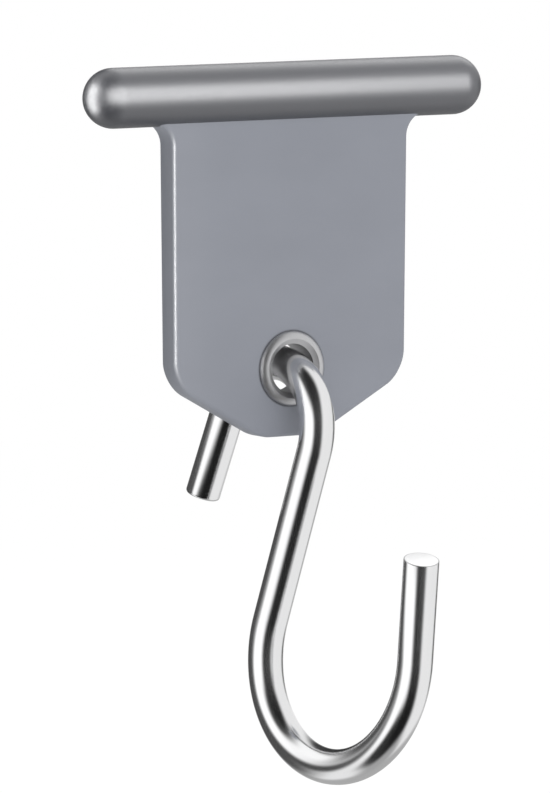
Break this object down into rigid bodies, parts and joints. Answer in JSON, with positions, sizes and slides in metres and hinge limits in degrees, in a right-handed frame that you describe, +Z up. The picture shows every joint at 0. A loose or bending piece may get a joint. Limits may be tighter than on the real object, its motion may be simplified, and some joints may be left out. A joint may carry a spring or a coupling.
{
  "type": "awning hook",
  "caption": "Rail-sliding hanger with a round bead, a flat plate and a lined hole that carries a swinging wire S hook.",
  "frame": {"origin": "centre of the round bead that slides in the awning rail", "axes": "+X along the bead, -Y out of the plate's front face, +Z up towards the rail"},
  "size_m": [0.043, 0.0348, 0.0662],
  "materials": {
    "hanger_plastic": "satin grey moulded plastic",
    "eyelet_metal": "satin rolled metal",
    "hook_chrome": "polished"
  },
  "bodies": {
    "hanger_body": {"hanger": "hanger_plastic", "eyelet": "eyelet_metal"},
    "hook_body": {"s_hook": "hook_chrome"}
  },
  "joints": [
    {"name": "hook_swing", "type": "hinge", "parent": "hanger_body", "child": "hook_body", "pos_m": [-0.00077, 0.0012, -0.0319], "axis": [0.98, 0.15, -0.1305], "range_deg": [-95, 84]}
  ]
}
